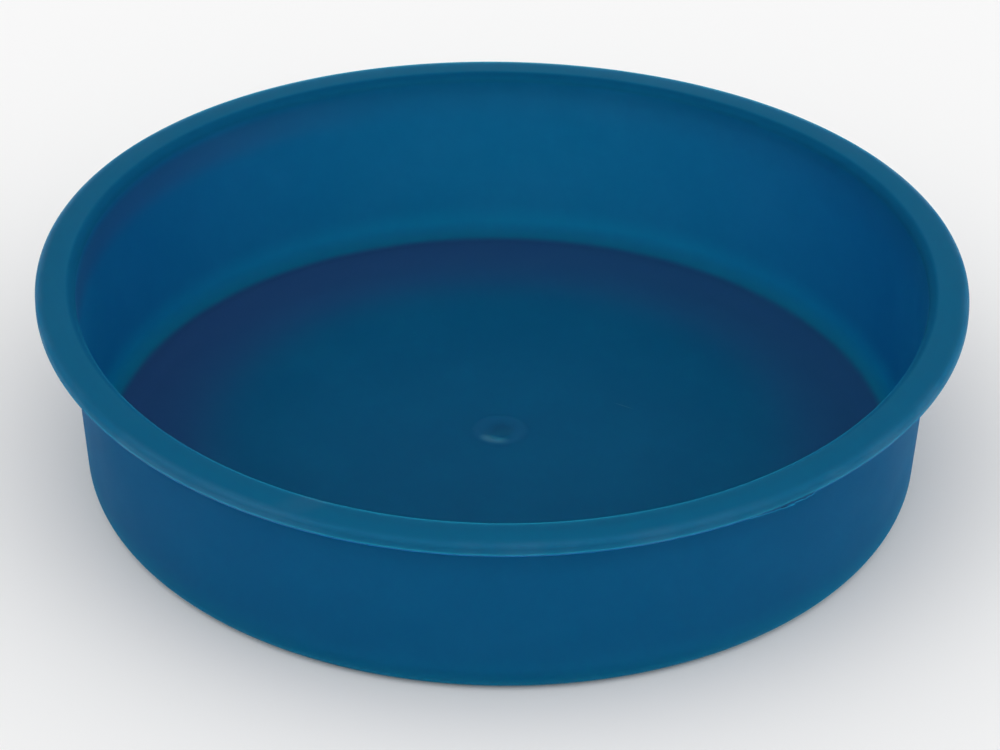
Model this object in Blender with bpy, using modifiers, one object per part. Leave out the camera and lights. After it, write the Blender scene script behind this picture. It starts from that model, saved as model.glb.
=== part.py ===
"""A round, flat-bottomed ward dish, moulded in one piece of satin blue polypropylene.

Blender 4.5, metres, +Z up. The origin is the centre of the flat base, at the height of the
surface that the dish stands on, and +Z is the axis that the whole shape is turned about.
"""

import math

import bpy

MM = 0.001

# Driving dimensions of the dish
RIM_RADIUS = 100.0 * MM
DISH_HEIGHT = 44.5 * MM
WALL_THICKNESS = 1.8 * MM
# Radius at which the outer wall, carried straight down, would meet the base
BASE_RADIUS = 90.3 * MM
# The wall leans outwards by this much, so that the moulding leaves its tool
DRAFT_ANGLE = math.radians(4.0)
BASE_CORNER_RADIUS = 3.9 * MM
# Where the floor turns up into the wall, inside
FLOOR_CORNER_RADIUS = 4.5 * MM

# The rim: a crowned flange whose outer edge turns down in a short lip
RIM_MOUTH_RADIUS = 2.3 * MM
RIM_CROWN_ANGLE = math.radians(9.0)
RIM_CORNER_RADIUS = 1.2 * MM
LIP_DROP = 3.3 * MM
LIP_THICKNESS = 1.6 * MM
LIP_EDGE_RADIUS = 0.5 * MM
UNDER_LIP_FILLET = 0.5 * MM
UNDER_RIM_FILLET = 1.0 * MM

# The floor and the base bow up inside a flat ring that the dish stands on
FOOT_RING_INNER_RADIUS = 80.0 * MM
FLOOR_BOW = 2.4 * MM

# The injection mark, inside: a shallow dimple within a low round ridge
GATE_DIMPLE_DEPTH = 0.55 * MM
GATE_RIDGE_RADIUS = 5.0 * MM
GATE_RIDGE_HEIGHT = 0.15 * MM
GATE_MARK_RADIUS = 6.8 * MM
# and underneath: a well, with the stub of the sprue in the middle of it
GATE_WELL_RADIUS = 4.6 * MM
GATE_WELL_DEPTH = 0.3 * MM
GATE_STUB_RADIUS = 1.0 * MM
GATE_STUB_LENGTH = 0.6 * MM

# How finely the section's arcs and the turned shape are divided
SECTION_TOLERANCE = 0.04 * MM
BOW_STEPS = 4
GATE_STEPS = 4
STEPS_ROUND = 80

# Satin blue plastic
PLASTIC_COLOR = (0.004, 0.130, 0.270, 1.0)
PLASTIC_ROUGHNESS = 0.42


def clear_scene():
    for scene_object in list(bpy.data.objects):
        bpy.data.objects.remove(scene_object)


def arc(center, radius, start, end):
    """Points on an arc in the section plane, as (distance from the axis, height) pairs."""
    widest_step = 2 * math.acos(1 - SECTION_TOLERANCE / radius)
    steps = math.ceil(abs(end - start) / widest_step)
    points = []
    for step in range(steps + 1):
        angle = start + (end - start) * step / steps
        points.append((center[0] + radius * math.cos(angle), center[1] + radius * math.sin(angle)))
    return points


def outer_wall(height):
    return BASE_RADIUS + height * math.tan(DRAFT_ANGLE)


def inner_wall(height):
    return outer_wall(height) - WALL_THICKNESS / math.cos(DRAFT_ANGLE)


def bow(radius):
    """How far the floor has risen at a distance from the axis, on a very shallow sphere."""
    sphere = (FOOT_RING_INNER_RADIUS**2 + FLOOR_BOW**2) / (2 * FLOOR_BOW)
    return FLOOR_BOW - sphere + math.sqrt(sphere**2 - radius**2)


def bow_points(inner_radius, base_height):
    """The bowed stretch of the floor or of the base, from a radius out to the flat ring."""
    points = []
    for step in range(BOW_STEPS + 1):
        radius = inner_radius + (FOOT_RING_INNER_RADIUS - inner_radius) * step / BOW_STEPS
        points.append((radius, base_height + bow(radius)))
    return points


def swell(start, end, steps):
    """A smooth S from one (radius, height) point to another, level at both ends."""
    points = []
    for step in range(steps + 1):
        share = step / steps
        rise = (1 - math.cos(math.pi * share)) / 2
        radius = start[0] + (end[0] - start[0]) * share
        points.append((radius, start[1] + (end[1] - start[1]) * rise))
    return points


def inside_points():
    """From the middle of the floor, over the injection mark, to the start of the wall's straight."""
    middle = WALL_THICKNESS + FLOOR_BOW
    ridge = (GATE_RIDGE_RADIUS, middle + GATE_RIDGE_HEIGHT)
    mark_edge = (GATE_MARK_RADIUS, WALL_THICKNESS + bow(GATE_MARK_RADIUS))
    points = swell((0.0, middle - GATE_DIMPLE_DEPTH), ridge, GATE_STEPS)
    points += swell(ridge, mark_edge, GATE_STEPS)[1:]
    points += bow_points(GATE_MARK_RADIUS, WALL_THICKNESS)[1:]

    height = WALL_THICKNESS + FLOOR_CORNER_RADIUS
    center = (inner_wall(height) - FLOOR_CORNER_RADIUS / math.cos(DRAFT_ANGLE), height)
    return points + arc(center, FLOOR_CORNER_RADIUS, -math.pi / 2, -DRAFT_ANGLE)


def rim_points():
    """From the top of the inner wall, over the crowned flange and round the lip to its root."""
    mouth_height = DISH_HEIGHT - RIM_MOUTH_RADIUS
    mouth = (inner_wall(mouth_height) + RIM_MOUTH_RADIUS / math.cos(DRAFT_ANGLE), mouth_height)
    crown_reach = RIM_RADIUS - mouth[0] - RIM_CORNER_RADIUS
    crown_radius = crown_reach / math.sin(RIM_CROWN_ANGLE) + RIM_CORNER_RADIUS
    crown = (mouth[0], DISH_HEIGHT - crown_radius)
    crown_end = math.pi / 2 - RIM_CROWN_ANGLE
    corner_reach = crown_radius - RIM_CORNER_RADIUS
    corner = (
        crown[0] + corner_reach * math.cos(crown_end),
        crown[1] + corner_reach * math.sin(crown_end),
    )
    points = arc(mouth, RIM_MOUTH_RADIUS, math.pi - DRAFT_ANGLE, math.pi / 2)
    points += arc(crown, crown_radius, math.pi / 2, crown_end)[1:]
    points += arc(corner, RIM_CORNER_RADIUS, crown_end, 0.0)[1:]

    edge_height = DISH_HEIGHT - LIP_DROP + LIP_EDGE_RADIUS
    lip_outside = (RIM_RADIUS - LIP_EDGE_RADIUS, edge_height)
    lip_inside = (RIM_RADIUS - LIP_THICKNESS + LIP_EDGE_RADIUS, edge_height)
    points += arc(lip_outside, LIP_EDGE_RADIUS, 0.0, -math.pi / 2)
    points += arc(lip_inside, LIP_EDGE_RADIUS, -math.pi / 2, -math.pi)

    under_lip_radius = RIM_RADIUS - LIP_THICKNESS - UNDER_LIP_FILLET
    under_lip = under_crown_center(crown, crown_radius, under_lip_radius, UNDER_LIP_FILLET)
    points += arc(under_lip, UNDER_LIP_FILLET, 0.0, under_crown_angle(crown, under_lip))

    root_height = DISH_HEIGHT - WALL_THICKNESS - UNDER_RIM_FILLET
    root_radius = outer_wall(root_height) + UNDER_RIM_FILLET / math.cos(DRAFT_ANGLE)
    under_rim = under_crown_center(crown, crown_radius, root_radius, UNDER_RIM_FILLET)
    root_angle = under_crown_angle(crown, under_rim)
    points += arc(under_rim, UNDER_RIM_FILLET, root_angle, math.pi - DRAFT_ANGLE)
    return points


def under_crown_center(crown, crown_radius, radius, fillet):
    """Centre of a fillet that touches the flange's underside, at a given distance from the axis."""
    reach = crown_radius - WALL_THICKNESS - fillet
    return radius, crown[1] + math.sqrt(reach**2 - (radius - crown[0]) ** 2)


def under_crown_angle(crown, fillet_center):
    return math.atan2(fillet_center[1] - crown[1], fillet_center[0] - crown[0])


def base_points():
    """From the foot of the outer wall, round the corner and across the base to the gate stub."""
    height = BASE_CORNER_RADIUS
    center = (outer_wall(height) - BASE_CORNER_RADIUS / math.cos(DRAFT_ANGLE), height)
    points = arc(center, BASE_CORNER_RADIUS, -DRAFT_ANGLE, -math.pi / 2)

    points += reversed(bow_points(GATE_WELL_RADIUS, 0.0))
    roof = FLOOR_BOW + GATE_WELL_DEPTH
    points += swell(points[-1], (GATE_STUB_RADIUS, roof), GATE_STEPS)[1:]
    tip = roof - GATE_STUB_LENGTH
    points += [(GATE_STUB_RADIUS, tip), (0.0, tip)]
    return points


def plastic_material():
    material = bpy.data.materials.new("blue_polypropylene")
    material.use_nodes = True
    principled = material.node_tree.nodes["Principled BSDF"]
    principled.inputs["Base Color"].default_value = PLASTIC_COLOR
    principled.inputs["Metallic"].default_value = 0.0
    principled.inputs["Roughness"].default_value = PLASTIC_ROUGHNESS
    return material


def turned_object(name, section, collection, material):
    """Turns a section about +Z. It starts and ends on the axis, which closes the shape."""
    mesh = bpy.data.meshes.new(name)
    vertices = [(radius, 0.0, height) for radius, height in section]
    edges = [(index, index + 1) for index in range(len(section) - 1)]
    mesh.from_pydata(vertices, edges, [])
    mesh.materials.append(material)
    turned = bpy.data.objects.new(name, mesh)
    collection.objects.link(turned)
    screw = turned.modifiers.new("turn", "SCREW")
    screw.axis = "Z"
    screw.angle = math.tau
    screw.steps = STEPS_ROUND
    screw.render_steps = STEPS_ROUND
    screw.use_merge_vertices = True
    screw.merge_threshold = 0.00001
    screw.use_smooth_shade = True
    return turned


def main():
    clear_scene()
    collection = bpy.data.collections.new("round_dish")
    bpy.context.scene.collection.children.link(collection)
    section = inside_points() + rim_points() + base_points()
    turned_object("dish", section, collection, plastic_material())


main()
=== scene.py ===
# %% [markdown]
# # A round ward dish, modelled and finished in Blender
#
# The dish is one piece of satin blue polypropylene, pressed into a steel mould as a hot melt. So
# everything here is one skin: a floor, a steep wall, and a rim that turns down into a short lip.
#
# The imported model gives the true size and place. This script draws the same dish again with a much
# finer surface, adds the small marks that moulding leaves, and gives it the look of the plastic.

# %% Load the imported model
import math

import bmesh
import bpy
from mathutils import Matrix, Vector


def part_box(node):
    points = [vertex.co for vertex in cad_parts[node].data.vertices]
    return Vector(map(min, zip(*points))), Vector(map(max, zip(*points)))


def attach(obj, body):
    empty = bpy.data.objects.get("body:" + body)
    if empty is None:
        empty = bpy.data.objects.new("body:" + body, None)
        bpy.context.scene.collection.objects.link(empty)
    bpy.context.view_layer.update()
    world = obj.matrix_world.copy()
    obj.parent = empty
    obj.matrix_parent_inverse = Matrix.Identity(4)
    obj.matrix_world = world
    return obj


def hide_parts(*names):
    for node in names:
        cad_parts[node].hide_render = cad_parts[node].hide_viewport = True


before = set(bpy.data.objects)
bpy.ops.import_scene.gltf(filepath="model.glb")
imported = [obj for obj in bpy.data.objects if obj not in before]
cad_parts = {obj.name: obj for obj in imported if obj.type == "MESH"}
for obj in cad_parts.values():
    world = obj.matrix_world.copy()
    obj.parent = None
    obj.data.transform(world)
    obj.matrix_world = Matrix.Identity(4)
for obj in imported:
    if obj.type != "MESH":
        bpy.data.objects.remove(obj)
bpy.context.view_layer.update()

# %% Take the dish's size from it
MM = 0.001
low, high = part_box("dish")
RIM_RADIUS = (high.x - low.x) / 2
DISH_HEIGHT = high.z - low.z
print(f"rim {2 * RIM_RADIUS / MM:.1f} mm across, {DISH_HEIGHT / MM:.1f} mm high")

# %% [markdown]
# ## The camera
#
# A long lens from far away keeps the circles of the dish nearly even, with just a little
# perspective. The camera looks down at about 31 degrees, so the floor shows over the near rim and
# the outside of the near wall shows under it. It leans by less than a degree, as a hand-set tripod
# does.

# %% Set up the camera
CAMERA_DISTANCE = 919 * MM
CAMERA_ELEVATION = math.radians(31.28)
CAMERA_AIM_BELOW_RIM = math.radians(1.35)
CAMERA_ROLL = math.radians(0.67)
CAMERA_ASIDE = -0.25 * MM
SENSOR_WIDTH = 36
FOCAL_LENGTH = 153.65

camera_data = bpy.data.cameras.new("camera")
camera_data.sensor_width = SENSOR_WIDTH
camera_data.lens = FOCAL_LENGTH
camera = bpy.data.objects.new("camera", camera_data)
bpy.context.scene.collection.objects.link(camera)
camera.location = (
    CAMERA_ASIDE,
    -CAMERA_DISTANCE * math.cos(CAMERA_ELEVATION),
    DISH_HEIGHT + CAMERA_DISTANCE * math.sin(CAMERA_ELEVATION),
)
pitch = math.pi / 2 - CAMERA_ELEVATION - CAMERA_AIM_BELOW_RIM
camera.rotation_euler = (pitch, 0, 0)
camera.rotation_euler.rotate_axis("Z", CAMERA_ROLL)
bpy.context.scene.camera = camera
print(f"camera {CAMERA_DISTANCE / MM:.0f} mm away, lens {camera_data.lens:.0f} mm")

# %% [markdown]
# ## Drawing the section
#
# A dish that is round all the way through is a turned shape: one outline, swept about the upright
# axis. It could start from a cylinder that is inset and scaled ring by ring, but then every fillet
# is a guess. It is surer to draw the section first, as a draughtsman would.
#
# The pen here is a single vertex. Extruding it draws a straight line, and spinning it about a
# centre draws a true arc. The section lies in the X-Z plane: X is the distance from the axis.

# %% A pen that draws straight runs
pen = Vector((0, 0, 0))


def start_section(name, radius, height):
    """A plane merged to one vertex is the pen's point."""
    bpy.ops.object.select_all(action="DESELECT")
    bpy.ops.mesh.primitive_plane_add(size=1 * MM, location=(0, 0, 0))
    section = bpy.context.object
    section.name = section.data.name = name
    bpy.ops.object.mode_set(mode="EDIT")
    bpy.ops.mesh.merge(type="CENTER")
    bpy.ops.transform.translate(value=(radius, 0, height))
    pen[:] = (radius, 0, height)
    return section


def line_to(radius, height, steps=1):
    """Draws a straight run, in equal steps."""
    step = (Vector((radius, 0, height)) - pen) / steps
    for _ in range(steps):
        bpy.ops.mesh.extrude_region_move(TRANSFORM_OT_translate={"value": step})
    pen[:] = (radius, 0, height)


print("straight runs: start_section, line_to")

# %% Arcs for the same pen


def arc_about(radius, height, turn, steps):
    """Draws an arc about a centre. A positive turn, in radians, is counter-clockwise."""
    center = Vector((radius, 0, height))
    bpy.ops.mesh.spin(steps=steps, angle=turn, center=center, axis=(0, 1, 0))
    arm = pen - center
    pen[:] = (
        radius + arm.x * math.cos(turn) - arm.z * math.sin(turn),
        0,
        height + arm.x * math.sin(turn) + arm.z * math.cos(turn),
    )


def swell_to(radius, height, steps):
    """Draws a soft S out of two equal arcs, level at both ends."""
    half_run = (radius - pen.x) / 2
    half_rise = (height - pen.z) / 2
    bend = (half_run**2 + half_rise**2) / (2 * abs(half_rise))
    turn = 2 * math.atan2(abs(half_rise), abs(half_run)) * math.copysign(1, half_run * half_rise)
    side = math.copysign(bend, half_rise)
    arc_about(pen.x, pen.z + side, turn, steps)
    arc_about(radius, height - side, -turn, steps)


print("arcs: arc_about, swell_to")

# %% [markdown]
# ## The inside: injection mark, floor and wall
#
# Melt enters the mould at the middle of the floor. What stays there is a shallow dimple inside a
# low round ridge. From there the floor falls very slightly, because a wide flat moulding bows as it
# cools. The wall leans out by a few degrees, so that the dish slides off its core.
#
# The floor and the base are both drawn on one very large sphere, so that they stay parallel, and
# both faces of the wall come from one sloping line. That keeps the plastic equally thick.

# %% Slope of the wall
WALL = 1.8 * MM
DRAFT = math.radians(4.0)
BASE_RADIUS = 90.3 * MM


def outer_wall(height):
    """Distance of the wall's outer face from the axis."""
    return BASE_RADIUS + height * math.tan(DRAFT)


def inner_wall(height):
    return outer_wall(height) - WALL / math.cos(DRAFT)


print(f"wall's outer face {outer_wall(0) / MM:.1f} to {outer_wall(DISH_HEIGHT) / MM:.1f} mm out")

# %% Bow of the floor
FOOT_RING_INNER = 80.0 * MM
FLOOR_BOW = 2.4 * MM

bow_sphere = (FOOT_RING_INNER**2 + FLOOR_BOW**2) / (2 * FLOOR_BOW)
bow_angle = math.asin(FOOT_RING_INNER / bow_sphere)


def bow(radius):
    """Height that the bow adds to the floor at a distance from the axis."""
    return FLOOR_BOW - bow_sphere + math.sqrt(bow_sphere**2 - radius**2)


print(f"floor bowed on a sphere of {bow_sphere / MM:.0f} mm radius")

# %% Draw the injection mark and the floor
DIMPLE_DEPTH = 0.55 * MM
RIDGE_RADIUS = 5.0 * MM
RIDGE_HEIGHT = 0.15 * MM
MARK_RADIUS = 6.8 * MM

middle = WALL + FLOOR_BOW
dish = start_section("round_dish", 0, middle - DIMPLE_DEPTH)
swell_to(RIDGE_RADIUS, middle + RIDGE_HEIGHT, steps=6)
swell_to(MARK_RADIUS, WALL + bow(MARK_RADIUS), steps=4)
fall = math.asin(MARK_RADIUS / bow_sphere) - bow_angle
arc_about(0, middle - bow_sphere, fall, steps=24)
print(f"floor drawn out to {pen.x / MM:.1f} mm, height {pen.z / MM:.2f} mm")

# %% Draw the floor's corner and the inside of the wall
FLOOR_CORNER = 4.5 * MM
RIM_MOUTH = 2.3 * MM

floor_corner_height = WALL + FLOOR_CORNER
floor_corner_center = inner_wall(floor_corner_height) - FLOOR_CORNER / math.cos(DRAFT)
line_to(floor_corner_center, WALL, steps=3)
arc_about(floor_corner_center, floor_corner_height, math.pi / 2 - DRAFT, steps=14)
mouth_height = DISH_HEIGHT - RIM_MOUTH
mouth_center = inner_wall(mouth_height) + RIM_MOUTH / math.cos(DRAFT)
wall_top = mouth_height + RIM_MOUTH * math.sin(DRAFT)
line_to(inner_wall(wall_top), wall_top, steps=16)
print(f"inner wall drawn up to {pen.z / MM:.2f} mm, radius {pen.x / MM:.2f} mm")

# %% [markdown]
# ## The rim
#
# The rim stiffens the dish and is what fingers lift it by. It is crowned: from the rounded mouth it
# falls gently outwards, then turns down over a small corner into a lip about 3 mm deep. Underneath
# it is hollow, so that the plastic is equally thick everywhere and cools evenly.
#
# Every arc starts in the direction in which the last one ended, so no crease shows between them.

# %% Draw the rim's upper side
RIM_CROWN = math.radians(9.0)
RIM_CORNER = 1.2 * MM

arc_about(mouth_center, mouth_height, -(math.pi / 2 - DRAFT), steps=12)
crown_reach = RIM_RADIUS - mouth_center - RIM_CORNER
crown_radius = crown_reach / math.sin(RIM_CROWN) + RIM_CORNER
crown_height = DISH_HEIGHT - crown_radius
arc_about(mouth_center, crown_height, -RIM_CROWN, steps=8)
rim_corner_height = crown_height + (crown_radius - RIM_CORNER) * math.cos(RIM_CROWN)
arc_about(RIM_RADIUS - RIM_CORNER, rim_corner_height, RIM_CROWN - math.pi / 2, steps=10)
print(f"rim drawn out to {pen.x / MM:.2f} mm, {(DISH_HEIGHT - pen.z) / MM:.2f} mm under its top")

# %% Draw the lip
LIP_DROP = 3.3 * MM
LIP_THICKNESS = 1.6 * MM
LIP_EDGE = 0.5 * MM

lip_edge_height = DISH_HEIGHT - LIP_DROP + LIP_EDGE
line_to(RIM_RADIUS, lip_edge_height, steps=2)
arc_about(RIM_RADIUS - LIP_EDGE, lip_edge_height, -math.pi / 2, steps=5)
line_to(RIM_RADIUS - LIP_THICKNESS + LIP_EDGE, pen.z)
arc_about(pen.x, lip_edge_height, -math.pi / 2, steps=5)
print(f"lip drawn down to {(lip_edge_height - LIP_EDGE) / MM:.2f} mm")

# %% Draw the hollow under the rim
UNDER_LIP = 0.5 * MM
UNDER_RIM = 1.0 * MM


def under_crown(radius, fillet):
    """Centre height and angle from upright of a fillet that touches the crown's underside."""
    reach = crown_radius - WALL - fillet
    angle = math.asin((radius - mouth_center) / reach)
    return crown_height + reach * math.cos(angle), angle


under_lip_radius = RIM_RADIUS - LIP_THICKNESS - UNDER_LIP
under_lip_height, under_lip_angle = under_crown(under_lip_radius, UNDER_LIP)
line_to(pen.x, under_lip_height)
arc_about(under_lip_radius, under_lip_height, math.pi / 2 - under_lip_angle, steps=6)
root_radius = outer_wall(DISH_HEIGHT - WALL - UNDER_RIM) + UNDER_RIM / math.cos(DRAFT)
root_height, root_angle = under_crown(root_radius, UNDER_RIM)
arc_about(mouth_center, crown_height, under_lip_angle - root_angle, steps=4)
arc_about(root_radius, root_height, math.pi / 2 + root_angle - DRAFT, steps=8)
print(f"hollow drawn, back at the wall at {pen.x / MM:.2f} mm, {pen.z / MM:.2f} mm")

# %% [markdown]
# ## The outside and the base
#
# The outside follows the inside at an even thickness. The dish stands on a flat ring, and inside
# that ring the base is lifted, so that it doesn't rock. A small well with the stub of the sprue
# sits under the injection mark, high enough to stay clear of the table.

# %% Draw the outer wall, the base and the sprue's well
BASE_CORNER = 3.9 * MM
WELL_RADIUS = 4.6 * MM
WELL_DEPTH = 0.3 * MM
STUB_RADIUS = 1.0 * MM
STUB_LENGTH = 0.6 * MM

base_center = outer_wall(BASE_CORNER) - BASE_CORNER / math.cos(DRAFT)
base_start = BASE_CORNER - BASE_CORNER * math.sin(DRAFT)
line_to(outer_wall(base_start), base_start, steps=16)
arc_about(base_center, BASE_CORNER, DRAFT - math.pi / 2, steps=12)
line_to(FOOT_RING_INNER, 0, steps=3)
rise = bow_angle - math.asin(WELL_RADIUS / bow_sphere)
arc_about(0, FLOOR_BOW - bow_sphere, rise, steps=12)
roof = FLOOR_BOW + WELL_DEPTH
swell_to(STUB_RADIUS, roof, steps=5)
line_to(STUB_RADIUS, roof - STUB_LENGTH, steps=2)
line_to(0, roof - STUB_LENGTH, steps=2)
dish.update_from_editmode()
print(f"section closed on the axis, {len(dish.data.vertices)} points")

# %% [markdown]
# ## Turning the section
#
# One spin about the upright axis makes the whole dish. The ends of the section lie on the axis, so
# each of them leaves a stack of doubled vertices, which are merged before the faces are all turned
# outwards. Shading is smooth but for the few edges that really are sharp, at the sprue's stub.

# %% Turn it
TURN_STEPS = 240
MERGE_WITHIN = 0.001 * MM
SHARP_FROM = math.radians(35)

bpy.ops.mesh.select_all(action="SELECT")
bpy.ops.mesh.spin(steps=TURN_STEPS, angle=math.tau, center=(0, 0, 0), axis=(0, 0, 1))
bpy.ops.mesh.select_all(action="SELECT")
bpy.ops.mesh.remove_doubles(threshold=MERGE_WITHIN)
bpy.ops.mesh.normals_make_consistent(inside=False)
bpy.ops.object.mode_set(mode="OBJECT")
bpy.ops.object.shade_smooth_by_angle(angle=SHARP_FROM)


def measure(piece):
    """Points, faces, open edges and volume in cubic centimetres."""
    shape = bmesh.new()
    shape.from_mesh(piece.data)
    open_edges = sum(not edge.is_manifold for edge in shape.edges)
    volume = shape.calc_volume(signed=True) * 1e6
    counts = (len(shape.verts), len(shape.faces), open_edges, volume)
    shape.free()
    return "{} points, {} faces, {} open edges, {:.3f} cm3".format(*counts)


print("turned dish:", measure(dish))

# %% [markdown]
# ## Flash on the lip
#
# Where the two halves of the mould meet, a little melt is squeezed out and sets as flash: a skirt
# under half a millimetre deep, here along a few degrees of the lip at the front right. One shred of
# it has torn loose and hangs by its root. A blade of flash is a short upright line, spun along the
# lip. Its points are then set to the ragged edges in code, and Solidify gives it a thickness.

# %% A blade of flash
FLASH_THICKNESS = 0.2 * MM
FLASH_RADIUS = RIM_RADIUS - 0.2 * MM
BLADE_HEIGHT = 1 * MM
LIP_BOTTOM = DISH_HEIGHT - LIP_DROP


def flash_blade(name, first, last, steps, top, bottom):
    """A blade between two angles in degrees. Top and bottom give its edges in mm over the lip's."""
    blade = start_section(name, FLASH_RADIUS, 0)
    line_to(pen.x, BLADE_HEIGHT)
    sweep = math.radians(last - first)
    bpy.ops.mesh.select_all(action="SELECT")
    bpy.ops.mesh.spin(steps=steps, angle=sweep, center=(0, 0, 0), axis=(0, 0, 1))
    bpy.ops.object.mode_set(mode="OBJECT")
    for vertex in blade.data.vertices:
        share = abs(math.atan2(vertex.co.y, vertex.co.x)) / sweep
        edge = top if vertex.co.z > BLADE_HEIGHT / 2 else bottom
        angle = math.radians(first) + share * sweep
        reach = vertex.co.xy.length
        height = LIP_BOTTOM + edge(share) * MM
        vertex.co = (reach * math.cos(angle), reach * math.sin(angle), height)
    thicken = blade.modifiers.new("thickness", "SOLIDIFY")
    thicken.thickness = FLASH_THICKNESS
    thicken.offset = 0
    bpy.ops.object.modifier_apply(modifier=thicken.name)
    bpy.ops.object.mode_set(mode="EDIT")
    bpy.ops.mesh.select_all(action="SELECT")
    bpy.ops.mesh.normals_make_consistent(inside=False)
    bpy.ops.object.mode_set(mode="OBJECT")
    return blade


print(f"flash hangs from {LIP_BOTTOM / MM:.1f} mm, {FLASH_THICKNESS / MM:.1f} mm thick")

# %% Draw the skirt
SKIRT_FIRST, SKIRT_LAST = -60, -51
SKIRT_ROOT = 0.3
SKIRT_DEPTH = 0.24
SKIRT_FADES_IN = 0.45
GAP_PLACE, GAP_REACH = 0.60, 0.04
SPUR_PLACE, SPUR_REACH, SPUR_DEPTH = 0.867, 0.022, 0.4


def smooth(share):
    """Eases from 0 to 1."""
    share = min(max(share, 0), 1)
    return share * share * (3 - 2 * share)


def skirt_edge(share):
    """A ragged edge that fades in, with a gap by the torn shred and one spur near its end."""
    ragged = 1 + 0.2 * math.sin(40 * share) + 0.15 * math.sin(93 * share)
    gap = 1 - 0.8 * smooth(1 - abs(share - GAP_PLACE) / GAP_REACH)
    spur = max(0, 1 - abs(share - SPUR_PLACE) / SPUR_REACH)
    return -SKIRT_DEPTH * smooth(share / SKIRT_FADES_IN) * ragged * gap - SPUR_DEPTH * spur


skirt = flash_blade(
    "lip_flash", SKIRT_FIRST, SKIRT_LAST, 120,
    top=lambda share: SKIRT_ROOT,
    bottom=skirt_edge,
)
print("skirt:", measure(skirt))

# %% Draw the torn shred and join it to the skirt
SHRED_FIRST, SHRED_LAST = -55.7, -53.8

shred = flash_blade(
    "lip_flash_shred", SHRED_FIRST, SHRED_LAST, 16,
    top=lambda share: -0.05 - 0.52 * share,
    bottom=lambda share: -0.40 - 0.22 * share,
)
bpy.ops.object.select_all(action="DESELECT")
shred.select_set(True)
skirt.select_set(True)
bpy.context.view_layer.objects.active = skirt
bpy.ops.object.join()
flash_share = skirt.data.attributes.new("flash", "FLOAT", "POINT")
for vertex in skirt.data.vertices:
    flash_share.data[vertex.index].value = 1.0
print("flash:", measure(skirt))

# %% [markdown]
# ## The warp
#
# A wide thin moulding never cools quite flat. This one has taken a slight saddle: its rim stands
# about a millimetre high at the left and right, and as much low at the front and back, while its
# base stays true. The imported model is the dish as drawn, so the warp belongs here. A saddle isn't
# one of Blender's simple deforms, so the points are moved in code, further the higher they are.
#
# Each point's place as drawn is kept in an attribute, so that the finish can still follow the lip's
# edge and the floor's corner, which now run up and down.

# %% Warp the wall and the rim
WARP = 1.25 * MM
OVAL = 0.25 * MM
WARP_TURN = math.radians(-5.6)


def saddle(point):
    """From -1 to 1: none at the base, most at the rim, up at the sides and down between them."""
    share = (max(point.z, 0) / DISH_HEIGHT) ** 1.5 * (point.xy.length / RIM_RADIUS) ** 2
    return share * math.cos(2 * (math.atan2(point.y, point.x) - WARP_TURN))


for piece in (dish, skirt):
    drawn = piece.data.attributes.new("as_drawn", "FLOAT_VECTOR", "POINT")
    for vertex in piece.data.vertices:
        drawn.data[vertex.index].vector = vertex.co
        warp = saddle(vertex.co)
        vertex.co.xy *= 1 + warp * OVAL / RIM_RADIUS
        vertex.co.z += warp * WARP
heights = [vertex.co.z / MM for vertex in dish.data.vertices]
print(f"warped by {WARP / MM:.2f} mm, now {min(heights):.2f} to {max(heights):.2f} mm high")

# %% [markdown]
# ## The plastic
#
# Polypropylene coloured with a blue pigment is slightly see-through: light soaks in, travels
# sideways and comes out again, so that the thin walls glow almost as brightly as the rim. That is
# subsurface scattering, and here it carries all of the colour. Green travels a little less far than
# blue, which keeps the thin walls blue. The skin is satin, as a blasted steel mould leaves it, so
# its reflections are faint and broad.
#
# Paint on top of a plain surface would be simpler, but it would leave the inside of the wall much
# darker than the rim. These values are the same all over, so they are set on the shader itself.

# %% The plastic's own values
SCATTER_DEPTH = 10 * MM
SCATTER_OF_EACH_COLOR = (1, 0.88, 1.1)
SATIN_SHEEN = 0.03
COAT_ROUGHNESS = 0.3

plastic = bpy.data.materials.new("satin_blue_polypropylene")
plastic.use_nodes = True
nodes = plastic.node_tree.nodes
links = plastic.node_tree.links
principled = nodes["Principled BSDF"]
principled.inputs["Subsurface Weight"].default_value = 1.0
principled.inputs["Subsurface Radius"].default_value = SCATTER_OF_EACH_COLOR
principled.inputs["Subsurface Scale"].default_value = SCATTER_DEPTH
principled.inputs["Specular IOR Level"].default_value = SATIN_SHEEN
principled.inputs["Coat Roughness"].default_value = COAT_ROUGHNESS
for piece in (dish, skirt):
    piece.data.materials.append(plastic)
print(f"{plastic.name}: light travels about {SCATTER_DEPTH / MM:.0f} mm inside it")

# %% [markdown]
# ## Masks
#
# What varies over the surface is worked out from masks: numbers from 0 to 1 that say where an
# effect is. A mask is a soft ramp along a distance, a height or a noise, and masks are multiplied
# together. They could be painted by hand, but a ramp is exact and lies on every point alike.

# %% Ramps and sums


def feed(socket, value):
    """Links an output to a socket, or sets a plain value on it."""
    if isinstance(value, bpy.types.NodeSocket):
        socket.id_data.links.new(value, socket)
    else:
        socket.default_value = value


def ramp(value, start, end, low=0.0, high=1.0, tree=plastic.node_tree):
    """A soft step from low to high, between two values. Start may be the larger one."""
    node = tree.nodes.new("ShaderNodeMapRange")
    node.interpolation_type = "SMOOTHSTEP"
    if start > end:
        start, end, low, high = end, start, high, low
    settings = {"From Min": start, "From Max": end, "To Min": low, "To Max": high}
    for name, number in settings.items():
        node.inputs[name].default_value = number
    feed(node.inputs["Value"], value)
    return node.outputs["Result"]


def along(distance, start, end, low=0.0, high=1.0):
    """A ramp whose start and end are in millimetres."""
    return ramp(distance, start * MM, end * MM, low, high)


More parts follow.
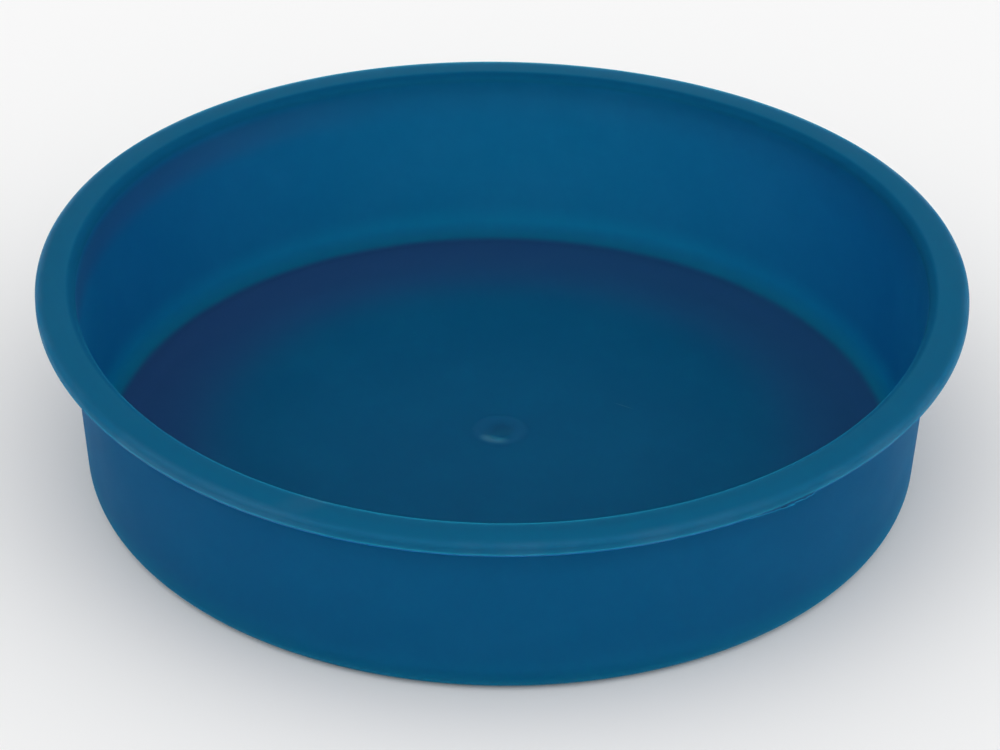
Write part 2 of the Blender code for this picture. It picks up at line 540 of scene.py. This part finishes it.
def calculate(operation, first, second):
    node = nodes.new("ShaderNodeMath")
    node.operation = operation
    feed(node.inputs[0], first)
    feed(node.inputs[1], second)
    return node.outputs["Value"]


print("mask helpers: ramp, along, calculate")

# %% Joining masks and colours


def together(*masks):
    """Where all of the masks are. A plain number among them weakens the result."""
    product = masks[0]
    for mask in masks[1:]:
        product = calculate("MULTIPLY", product, mask)
    return product


def tinted(mask, base, tint):
    """The base colour, turned to the tint where the mask is."""
    node = nodes.new("ShaderNodeMix")
    node.data_type = "RGBA"
    feed(node.inputs["Factor"], mask)
    feed(node.inputs["A"], base)
    feed(node.inputs["B"], tint)
    return node.outputs["Result"]


print("joining helpers: together, tinted")

# %% Where a point is on the dish
as_drawn = nodes.new("ShaderNodeAttribute")
as_drawn.attribute_name = "as_drawn"
place = as_drawn.outputs["Vector"]
split = nodes.new("ShaderNodeSeparateXYZ")
links.new(place, split.inputs["Vector"])
to_right = split.outputs["X"]
height = split.outputs["Z"]
flat = nodes.new("ShaderNodeVectorMath")
flat.operation = "MULTIPLY"
flat.inputs[1].default_value = (1, 1, 0)
links.new(place, flat.inputs[0])
spoke = nodes.new("ShaderNodeVectorMath")
spoke.operation = "LENGTH"
links.new(flat.outputs["Vector"], spoke.inputs[0])
from_axis = spoke.outputs["Value"]
print("measured in the material: to_right, height, from_axis")

# %% Noise that varies the skin


def noise(patches_per_metre, detail, roughness=0.5):
    """Uneven patches, from 0 to 1."""
    node = nodes.new("ShaderNodeTexNoise")
    node.inputs["Scale"].default_value = patches_per_metre
    node.inputs["Detail"].default_value = detail
    node.inputs["Roughness"].default_value = roughness
    links.new(place, node.inputs["Vector"])
    return node.outputs["Fac"]


clouds = noise(55, detail=5, roughness=0.65)
rubbed = noise(60, detail=3)
grain = noise(3000, detail=2)
print(f"patches of {1000 / 55:.0f} mm, {1000 / 60:.0f} mm and {1000 / 3000:.1f} mm")

# %% [markdown]
# ## Colour of the floor
#
# Towards the edge of the floor the blue is painted deeper and more violet, more so on the left:
# painted shade where the wall keeps light off the floor. It ends at once where the floor turns up
# into the wall.
#
# Each pair below is where a mask is none and where it is full, in millimetres.

# %% Mask of the violet ring
RING_FADES_IN = (48, 80)
RING_ENDS = (87.0, 85.2)
ABOVE_FLOOR = (3.4, 2.4)
RIGHT_TO_LEFT = (60, -60)
RING_ON_THE_RIGHT = 0.72

# Painted shade: the floor's outer ring is painted a deeper, more violet blue.
violet_shade = together(
    along(from_axis, *RING_FADES_IN),
    along(from_axis, *RING_ENDS),
    along(height, *ABOVE_FLOOR),
    along(to_right, *RIGHT_TO_LEFT, low=RING_ON_THE_RIGHT),
)
print(f"violet ring from {RING_FADES_IN[0]} mm out to {RING_ENDS[0]:.0f} mm")

# %% [markdown]
# ## Colour of the wall
#
# The wall's foot is painted a little brighter: a painted highlight where the fillet catches light
# from the floor. Under the rim on the left, the inside of the wall has a darker, greyer belt of
# painted shade, and the outside is painted darker towards the hollow under the rim, as painted
# shade under the lip. Both faces of the wall share one slope, so taking the slope away from the
# distance tells the inside from the outside.

# %% Masks of the wall
WALL_SLOPE = 0.07
FOOT_INSIDE = (91.3, 90.0)
FOOT_HEIGHT = (11, 2.8)
FOOT_BEGINS = (84.8, 87.0)
FOOT_STRENGTH = 0.8
INNER_FACE = (89.6, 89.1)
OUTER_FACE = (89.6, 90.0)
BELT_BEGINS = (32, 38)
BELT_ENDS = (42.5, 40.5)
BELT_TO_LEFT = (-20, -80)
UNDER_LIP_SHADE_HEIGHT = (30, 41)

# Painted highlight: the wall's foot is painted brighter where the fillet catches light.
wall_foot_highlight = together(
    along(from_axis, *FOOT_INSIDE),
    along(height, *FOOT_HEIGHT),
    along(from_axis, *FOOT_BEGINS),
    FOOT_STRENGTH,
)
unsloped = calculate("SUBTRACT", from_axis, calculate("MULTIPLY", height, WALL_SLOPE))
# Painted shade: a darker, greyer belt under the rim on the left.
belt_shade = together(
    along(unsloped, *INNER_FACE),
    along(height, *BELT_BEGINS),
    along(height, *BELT_ENDS),
    along(to_right, *BELT_TO_LEFT, low=0.1, high=0.75),
)
# Painted shade: the outside of the wall is painted darker under the lip.
under_lip_shade = together(along(unsloped, *OUTER_FACE), along(height, *UNDER_LIP_SHADE_HEIGHT))
print(f"wall's foot up to {FOOT_HEIGHT[0]} mm, belt from {BELT_BEGINS[0]} to {BELT_ENDS[0]} mm")

# %% [markdown]
# ## Colour of the rim and the lip
#
# Light reaches the rim from two sides, so its top is painted a touch lighter, a painted highlight.
# Thin edges glow more than the rest, so the rounded mouth, the lip's lower edge and the flash are
# painted darker, as painted shade, and the lip's face is painted a touch brighter, a painted
# highlight.

# %% Masks of the rim and the lip
RIM_HEIGHT = (42.0, 43.2)
MOUTH = (93.8, 92.6)
MOUTH_STRENGTH = 0.6
LIP_FACE = (98.4, 99.6)
LIP_SIDE = (98.0, 98.6)
LIP_EDGE_HEIGHT = (42.0, 41.5)

on_rim = along(height, *RIM_HEIGHT)
# Painted shade: the rounded mouth is painted darker.
mouth = together(on_rim, along(from_axis, *MOUTH), MOUTH_STRENGTH)
# Painted highlight: the lip's face is painted a touch brighter.
lip_face_light = along(from_axis, *LIP_FACE)
# Painted shade: the lip's lower edge is painted dark.
lip_edge_shade = together(along(from_axis, *LIP_SIDE), along(height, *LIP_EDGE_HEIGHT))
# The flash is painted darker too, as painted shade that tones down its glow.
on_flash = nodes.new("ShaderNodeAttribute")
on_flash.attribute_name = "flash"
print(f"rim above {RIM_HEIGHT[0]:.0f} mm, lip beyond {LIP_SIDE[0]:.0f} mm")

# %% [markdown]
# ## Laying the colours on
#
# The plain blue comes first, with a very faint cloudiness, because no pigment mixes perfectly.
# Every other colour is laid over it in turn, each through its own mask, so that a later one covers
# an earlier one.

# %% Colour the plastic
BLUE = (0.001, 0.065, 0.155, 1)
CLOUDY_BLUE = (0.002, 0.076, 0.171, 1)
WALL_FOOT_HIGHLIGHT_BLUE = (0.001, 0.118, 0.215, 1)
UNDER_LIP_SHADE_BLUE = (0.001, 0.052, 0.128, 1)
RIM_LIGHT_BLUE = (0.001, 0.076, 0.146, 1)
MOUTH_SHADE_BLUE = (0.001, 0.040, 0.100, 1)
LIP_LIGHT_BLUE = (0.002, 0.084, 0.162, 1)
BELT_SHADE_BLUE = (0.006, 0.048, 0.130, 1)
VIOLET_SHADE_BLUE = (0.011, 0.050, 0.150, 1)
LIP_EDGE_SHADE_BLUE = (0.0006, 0.015, 0.050, 1)
FLASH_SHADE_BLUE = (0.001, 0.027, 0.105, 1)
CLOUDINESS = 0.6

color = tinted(ramp(clouds, 0.35, 0.75, high=CLOUDINESS), BLUE, CLOUDY_BLUE)
# Every layer below is painted light or shade: the wall's foot, the rim's top and the lip's face are
# painted highlights, the rest painted shade.
layers = (
    (wall_foot_highlight, WALL_FOOT_HIGHLIGHT_BLUE),
    (under_lip_shade, UNDER_LIP_SHADE_BLUE),
    (on_rim, RIM_LIGHT_BLUE),
    (mouth, MOUTH_SHADE_BLUE),
    (lip_face_light, LIP_LIGHT_BLUE),
    (belt_shade, BELT_SHADE_BLUE),
    (violet_shade, VIOLET_SHADE_BLUE),
    (lip_edge_shade, LIP_EDGE_SHADE_BLUE),
    (on_flash.outputs["Fac"], FLASH_SHADE_BLUE),
)
for mask, tint in layers:
    color = tinted(mask, color, tint)
print("colours laid on:", len(layers) + 2)

# %% [markdown]
# ## Marks that are spots and scratches
#
# A scuff is a soft round spot, and a scratch is a very long thin one. So one node group makes both:
# its Mapping node moves, turns and stretches the place until the mark is a ball of radius 1, and
# the mask fades out towards the ball's edge.

# %% A group for spots and scratches
mark_group = bpy.data.node_groups.new("surface_mark", "ShaderNodeTree")
group_in = mark_group.nodes.new("NodeGroupInput")
group_out = mark_group.nodes.new("NodeGroupOutput")
to_ball = mark_group.nodes.new("ShaderNodeMapping")
to_ball.vector_type = "TEXTURE"
group_inputs = {"Place": "Vector", "Center": "Location", "Turn": "Rotation", "Reach": "Scale"}
for name, mapping_name in group_inputs.items():
    mark_group.interface.new_socket(name, in_out="INPUT", socket_type="NodeSocketVector")
    mark_group.links.new(group_in.outputs[name], to_ball.inputs[mapping_name])
mark_group.interface.new_socket("Mask", in_out="OUTPUT", socket_type="NodeSocketFloat")
ball = mark_group.nodes.new("ShaderNodeVectorMath")
ball.operation = "LENGTH"
mark_group.links.new(to_ball.outputs["Vector"], ball.inputs[0])
inside_ball = ramp(ball.outputs["Value"], 1.0, 0.3, tree=mark_group)
mark_group.links.new(inside_ball, group_out.inputs["Mask"])
print("group surface_mark:", len(mark_group.nodes), "nodes")

# %% Place a mark on the plastic


def surface_mark(center, reach, turn):
    """A mask for one mark. Its center and reach are in millimetres, its turn in degrees about Z."""
    node = nodes.new("ShaderNodeGroup")
    node.node_tree = mark_group
    links.new(place, node.inputs["Place"])
    node.inputs["Center"].default_value = [part * MM for part in center]
    node.inputs["Reach"].default_value = [part * MM for part in reach]
    node.inputs["Turn"].default_value = (0, 0, math.radians(turn))
    return node.outputs["Mask"]


scratch = surface_mark(center=(27.3, 11.2, 4.0), reach=(3.2, 0.18, 2.0), turn=-29)
gloss_and_highlight_spot = surface_mark(center=(-1.4, -3.3, 4.0), reach=(4.2, 2.2, 3.0), turn=-14)
smudge = surface_mark(center=(-41, -88, 44), reach=(14, 4, 6), turn=25)
print("marks: a scratch on the floor, a polished spot, a smudge on the rim")

# %% Colour the marks
SCRATCH_BLUE = (0.03, 0.12, 0.20, 1)
HIGHLIGHT_BLUE = (0.004, 0.15, 0.24, 1)

color = tinted(together(scratch, 0.7), color, SCRATCH_BLUE)
# Painted highlight: the spot on the injection mark is painted lighter, where the coat also shines.
color = tinted(together(gloss_and_highlight_spot, 0.5), color, HIGHLIGHT_BLUE)
links.new(color, principled.inputs["Base Color"])
print("base colour fed by", principled.inputs["Base Color"].links[0].from_node.bl_label)

# %% [markdown]
# ## Gloss
#
# The steel is polished where the melt comes in, so the injection mark shines through a thin coat,
# most on the near side of the dimple, where the same spot is also painted lighter as a painted
# highlight. The rim's outer corner is burnished a little by hands and stacking, in uneven patches,
# and a thumb has left a smudge on it.

# %% Gloss of the coat
MARK_EDGE = (6.6, 5.4)
RUBBED_CORNER = (97.8, 99.2)

glossy_places = (
    together(along(from_axis, *MARK_EDGE), 0.05),
    together(along(from_axis, *RUBBED_CORNER), ramp(rubbed, 0.4, 0.65, 0.05, 0.25)),
    together(gloss_and_highlight_spot, 0.5),
    together(smudge, 0.12),
)
gloss = glossy_places[0]
for glossy_place in glossy_places[1:]:
    gloss = calculate("MAXIMUM", gloss, glossy_place)
links.new(gloss, principled.inputs["Coat Weight"])
print("glossy places:", len(glossy_places))

# %% [markdown]
# ## The satin skin
#
# The rest of the skin stays dull. Its roughness drifts a little from place to place, and the
# mouth's edge is dullest, where gloss would show as a bright line. A grain of about a third of a
# millimetre lies in the normals only, because it is far too fine to be modelled.

# %% Roughness and grain
MOUTH_EDGE = (94.4, 92.8)
GRAIN_STRENGTH = 0.25
GRAIN_DEPTH = 0.02 * MM

dullness = ramp(rubbed, 0.3, 0.7, 0.54, 0.62)
dull_mouth = together(on_rim, along(from_axis, *MOUTH_EDGE))
links.new(calculate("MAXIMUM", dullness, dull_mouth), principled.inputs["Roughness"])
skin = nodes.new("ShaderNodeBump")
skin.inputs["Strength"].default_value = GRAIN_STRENGTH
skin.inputs["Distance"].default_value = GRAIN_DEPTH
links.new(grain, skin.inputs["Height"])
links.new(skin.outputs["Normal"], principled.inputs["Normal"])
print("plastic:", len(nodes), "nodes")

# %% [markdown]
# ## The floor
#
# A plain pale sheet, large enough to have no edge in any view. It only catches the soft shadow that
# shows the dish is standing on something.

# %% Lay the floor
FLOOR_SIZE = 6
PALE = (0.9, 0.9, 0.9, 1)
PALE_ROUGHNESS = 0.9

bpy.ops.object.select_all(action="DESELECT")
bpy.ops.mesh.primitive_plane_add(size=FLOOR_SIZE, location=(0, 0, 0))
table = bpy.context.object
table.name = "pale_table"
pale = bpy.data.materials.new("pale_table")
pale.use_nodes = True
pale_paint = pale.node_tree.nodes["Principled BSDF"]
pale_paint.inputs["Base Color"].default_value = PALE
pale_paint.inputs["Roughness"].default_value = PALE_ROUGHNESS
table.data.materials.append(pale)
print(f"floor {FLOOR_SIZE} m across")

# %% [markdown]
# ## Light
#
# The dish stands in a tent of white cloth that is lit from outside by soft banks of light: most of
# it low at the right and behind, which lights the far wall through the plastic, and the rest high
# at the front, left and right. The tent itself glows faintly all round.
#
# Area lamps would do this too, but each would show as a shape of its own in the rim. Here the tent
# is the world, and each bank is a soft patch on it. Heights count double, which makes the patches
# wide and low. The lens sees an even pale backdrop, whatever the banks do, because Light Path tells
# what is seen from what lights the dish.

# %% The tent
TENT_GLOW = 0.05
TENT_SQUASH = (1, 1, 2)

world = bpy.data.worlds.new("light_tent")
bpy.context.scene.world = world
world.use_nodes = True
tent = world.node_tree
background = tent.nodes["Background"]
background.inputs["Color"].default_value = (1, 1, 1, 1)
direction = tent.nodes.new("ShaderNodeTexCoord")
flatten = tent.nodes.new("ShaderNodeMapping")
flatten.inputs["Scale"].default_value = TENT_SQUASH
tent.links.new(direction.outputs["Generated"], flatten.inputs["Vector"])
aim = tent.nodes.new("ShaderNodeVectorMath")
aim.operation = "NORMALIZE"
tent.links.new(flatten.outputs["Vector"], aim.inputs[0])
print(f"tent glows at {TENT_GLOW}")

# %% A bank of light
BANK_EDGE = math.radians(60)
BANK_FULL = math.radians(10)


def light_bank(name, azimuth, rise, strength, so_far):
    """Adds a soft patch of light on the tent to what is there so far. Angles are in degrees."""
    azimuth, rise = math.radians(azimuth), math.radians(rise)
    nearness = tent.nodes.new("ShaderNodeVectorMath")
    nearness.operation = "DOT_PRODUCT"
    nearness.inputs[1].default_value = (
        math.cos(azimuth) * math.cos(rise),
        math.sin(azimuth) * math.cos(rise),
        math.sin(rise),
    )
    tent.links.new(aim.outputs["Vector"], nearness.inputs[0])
    edge, full = math.cos(BANK_EDGE), math.cos(BANK_FULL)
    patch = ramp(nearness.outputs["Value"], edge, full, high=strength, tree=tent)
    patch.node.name = name
    total = tent.nodes.new("ShaderNodeMath")
    feed(total.inputs[0], patch)
    feed(total.inputs[1], so_far)
    return total.outputs["Value"]


print("a bank fades out", round(math.degrees(BANK_EDGE)), "degrees from its middle")

# %% Light the tent
BANKS = (
    ("low_right", 0, 10, 1.3),
    ("low_back", 90, 10, 1.1),
    ("low_left", 180, 10, 0.1),
    ("low_front", -90, 10, 0.05),
    ("high_right", 0, 50, 0.46),
    ("high_left", 180, 50, 0.74),
    ("high_front", -90, 50, 0.85),
)
glow = TENT_GLOW
for bank in BANKS:
    glow = light_bank(*bank, glow)
print("banks of light:", ", ".join(bank[0] for bank in BANKS))

# %% The backdrop that the lens sees
BACKDROP = 0.8

seen = tent.nodes.new("ShaderNodeLightPath")
backdrop = tent.nodes.new("ShaderNodeMix")
backdrop.inputs["B"].default_value = BACKDROP
tent.links.new(seen.outputs["Is Camera Ray"], backdrop.inputs["Factor"])
tent.links.new(glow, backdrop.inputs["A"])
tent.links.new(backdrop.outputs["Result"], background.inputs["Strength"])
bpy.context.scene.view_settings.view_transform = "Standard"
print(f"backdrop {BACKDROP}, view {bpy.context.scene.view_settings.view_transform}")

# %% [markdown]
# ## Fixing it to the frame
#
# The fine dish stands for the imported one and moves with its body, and the flash moves with it.

# %% Finish
for piece in (dish, skirt):
    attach(piece, "root")
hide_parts("dish")
